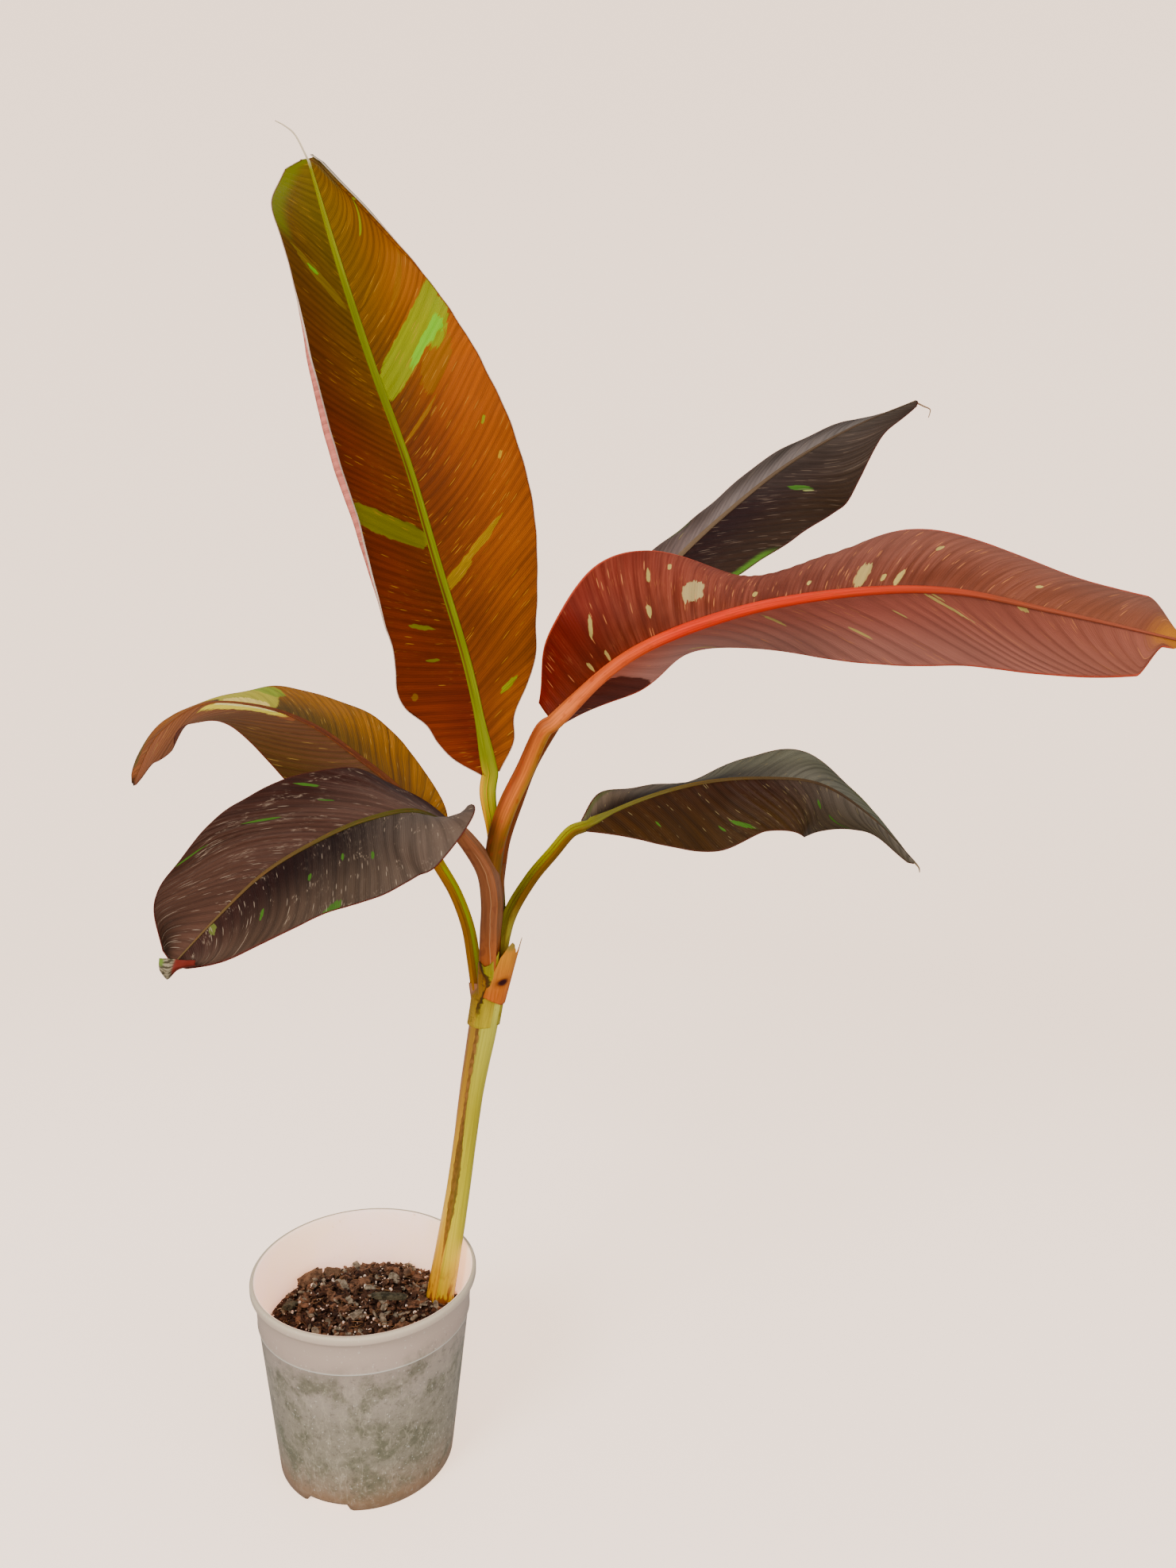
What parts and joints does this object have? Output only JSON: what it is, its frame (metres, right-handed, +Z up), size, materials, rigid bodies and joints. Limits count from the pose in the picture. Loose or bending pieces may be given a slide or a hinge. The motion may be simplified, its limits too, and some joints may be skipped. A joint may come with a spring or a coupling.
{
  "type": "potted banana plant",
  "caption": "Young banana plant with a leaning pseudostem and broad variegated leaves, standing in a round translucent nursery pot of bark mix.",
  "frame": {"origin": "centre of the pot's flat underside", "axes": "+Z up; +X to the right and +Y away from the viewer of the plant's front; the stem leans towards +X"},
  "size_m": [0.8249, 0.4576, 1.0832],
  "materials": {
    "pot_plastic": "translucent, scuffed",
    "potting_mix": "rough",
    "stem_green": "satin",
    "dry_sheath": "matt",
    "petiole": "satin",
    "leaf_bronze": "satin",
    "leaf_maroon": "satin",
    "leaf_dark": "satin"
  },
  "bodies": {
    "root": {"pot": "pot_plastic", "soil": "potting_mix", "pseudostem": "stem_green", "inner_sheath": "petiole", "sheath_stub": "dry_sheath", "petiole_1": "petiole", "petiole_2": "petiole", "petiole_3": "petiole", "petiole_4": "petiole", "petiole_5": "petiole", "petiole_6": "petiole", "leaf_1": "leaf_bronze", "leaf_2": "leaf_maroon", "leaf_3": "leaf_dark", "leaf_4": "leaf_bronze", "leaf_5": "leaf_dark", "leaf_6": "leaf_dark"}
  },
  "joints": []
}
